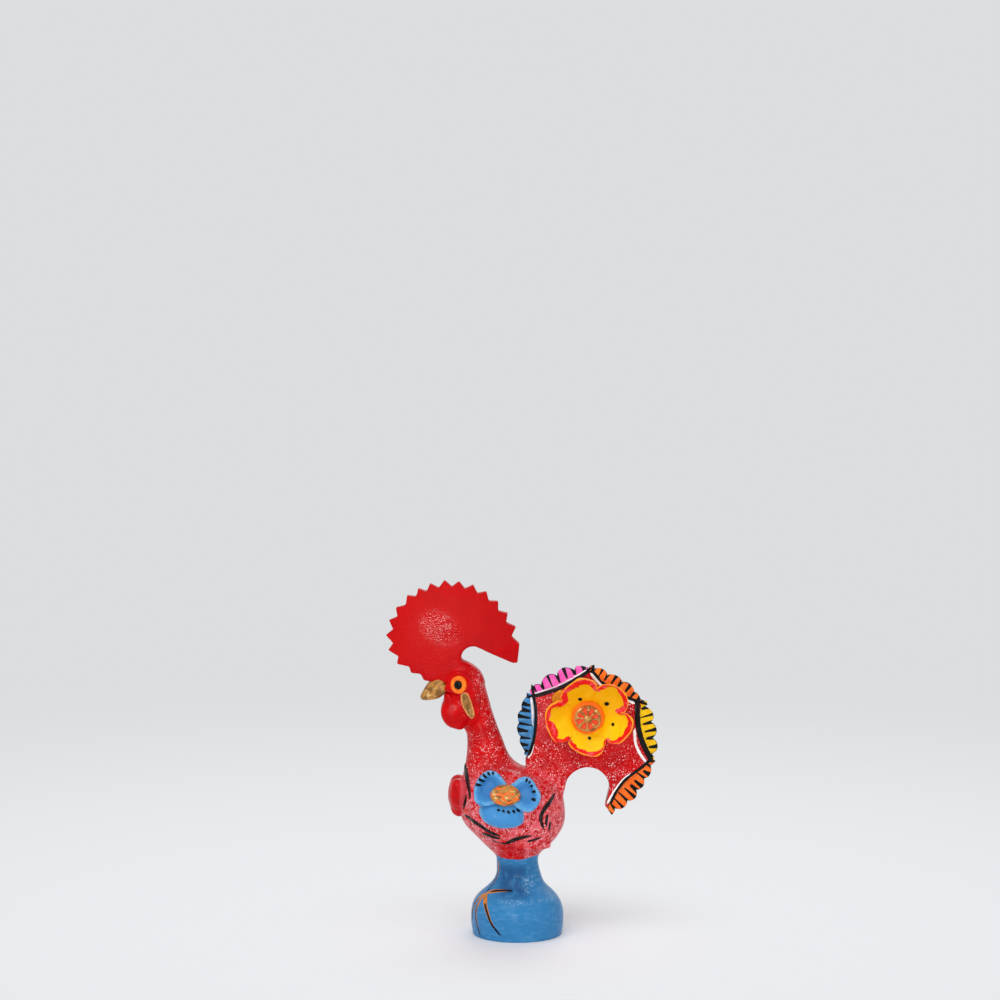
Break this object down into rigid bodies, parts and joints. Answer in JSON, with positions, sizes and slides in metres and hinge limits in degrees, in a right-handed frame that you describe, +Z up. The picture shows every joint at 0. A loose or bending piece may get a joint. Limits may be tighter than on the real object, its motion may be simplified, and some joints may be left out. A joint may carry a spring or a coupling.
{
  "type": "rooster ornament",
  "caption": "Standing rooster ornament with a toothed round comb, arched tail plate with pleated frills, applied flowers and a bell-shaped foot, hand painted.",
  "frame": {"origin": "centre of the ring that the foot stands on", "axes": "+Z up from the foot to the comb, -X towards the beak, -Y towards the rooster's left side"},
  "size_m": [0.0763, 0.032, 0.0999],
  "materials": {
    "body_red_paint": "glossy red brush paint with fine white flecks and black strokes",
    "comb_red_paint": "glossy plain red paint",
    "blue_paint": "satin sky blue paint with black strokes",
    "flower_yellow_paint": "satin yellow paint with red rims and black dots",
    "orange_paint": "satin orange paint",
    "pink_paint": "satin pink paint with black strokes",
    "gold_paint": "brushed gold paint",
    "black_paint": "glossy black paint"
  },
  "bodies": {
    "root": {"foot": "blue_paint", "body_shell_left": "body_red_paint", "body_shell_right": "body_red_paint", "comb": "comb_red_paint", "beak": "gold_paint", "breast_heart": "body_red_paint", "tail_plate": "body_red_paint", "tail_frill_front": "blue_paint", "tail_frill_upper_front": "pink_paint", "tail_frill_top": "orange_paint", "tail_frill_rear": "flower_yellow_paint", "tail_frill_lower": "orange_paint", "left_eye_ring": "orange_paint", "right_eye_ring": "orange_paint", "left_pupil": "black_paint", "right_pupil": "black_paint", "left_wattle": "comb_red_paint", "right_wattle": "comb_red_paint", "left_ear_lobe": "gold_paint", "right_ear_lobe": "gold_paint", "left_wing": "body_red_paint", "right_wing": "body_red_paint", "left_flank_centre": "gold_paint", "right_flank_centre": "gold_paint", "left_flank_petal_front": "blue_paint", "right_flank_petal_front": "blue_paint", "left_flank_petal_rear": "blue_paint", "right_flank_petal_rear": "blue_paint", "left_flank_petal_lower": "blue_paint", "right_flank_petal_lower": "blue_paint", "left_tail_petal_1": "flower_yellow_paint", "right_tail_petal_1": "flower_yellow_paint", "left_tail_petal_2": "flower_yellow_paint", "right_tail_petal_2": "flower_yellow_paint", "left_tail_petal_3": "flower_yellow_paint", "right_tail_petal_3": "flower_yellow_paint", "left_tail_petal_4": "flower_yellow_paint", "right_tail_petal_4": "flower_yellow_paint", "left_tail_petal_5": "flower_yellow_paint", "right_tail_petal_5": "flower_yellow_paint", "left_tail_collar": "orange_paint", "right_tail_collar": "orange_paint", "left_tail_rosette": "gold_paint", "right_tail_rosette": "gold_paint", "left_tail_leaf": "orange_paint", "right_tail_leaf": "orange_paint"}
  },
  "joints": []
}
